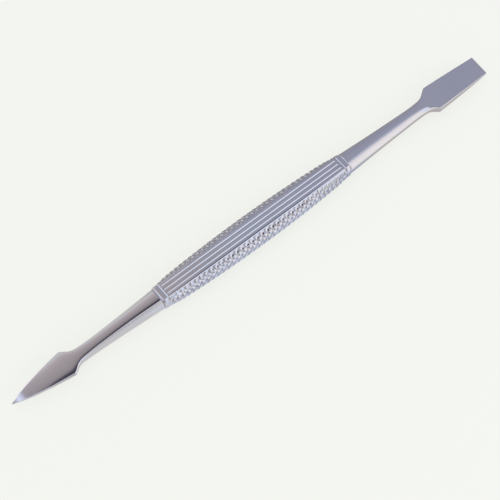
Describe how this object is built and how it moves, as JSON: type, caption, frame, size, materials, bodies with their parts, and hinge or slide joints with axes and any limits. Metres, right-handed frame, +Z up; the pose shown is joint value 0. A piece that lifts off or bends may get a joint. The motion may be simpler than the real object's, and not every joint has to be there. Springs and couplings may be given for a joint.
{
  "type": "cuticle pusher",
  "caption": "Double-ended steel cuticle pusher with a spear blade, a square pusher blade and a flat-oval grip with fluted panels and knurled sides.",
  "frame": {"origin": "midway between the two working tips, on the surface that the underside of the grip rests on", "axes": "+X along the tool towards the square pusher blade, +Y to the side, +Z up, out of the upper flat panel of the grip"},
  "size_m": [0.135, 0.0084, 0.0042],
  "materials": {
    "patterned_steel": "bright, with a pressed pattern of flutes and diamond knurl",
    "collar_steel": "bright",
    "polished_steel": "polished, with faint lengthwise grinding marks"
  },
  "bodies": {
    "root": {"handle": "patterned_steel", "spear_collar": "collar_steel", "pusher_collar": "collar_steel", "spear_end": "polished_steel", "pusher_end": "polished_steel"}
  },
  "joints": []
}
